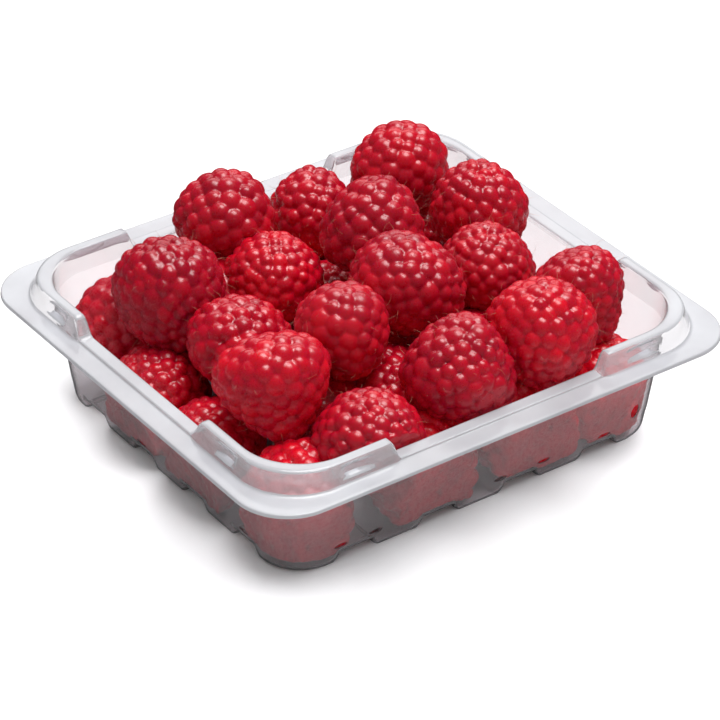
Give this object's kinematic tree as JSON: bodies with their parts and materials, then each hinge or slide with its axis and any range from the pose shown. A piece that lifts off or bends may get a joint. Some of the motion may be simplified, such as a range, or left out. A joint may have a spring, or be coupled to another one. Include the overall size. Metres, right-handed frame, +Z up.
{
  "type": "raspberry punnet",
  "caption": "Clear formed open tray with a flange, raised corners and arched feet, heaped with raspberries.",
  "frame": {"origin": "on the ground, under the middle of the tray", "axes": "+Z up, +X along the tray's longer side, +Y across it; the corner nearest the viewer is at -X, -Y"},
  "size_m": [0.128, 0.1174, 0.0493],
  "materials": {
    "clear_plastic": "clear, glossy, thin formed sheet",
    "raspberry_flesh": "soft, slightly moist, with a velvety bloom"
  },
  "bodies": {
    "root": {"tray": "clear_plastic", "raspberries": "raspberry_flesh"}
  },
  "joints": []
}
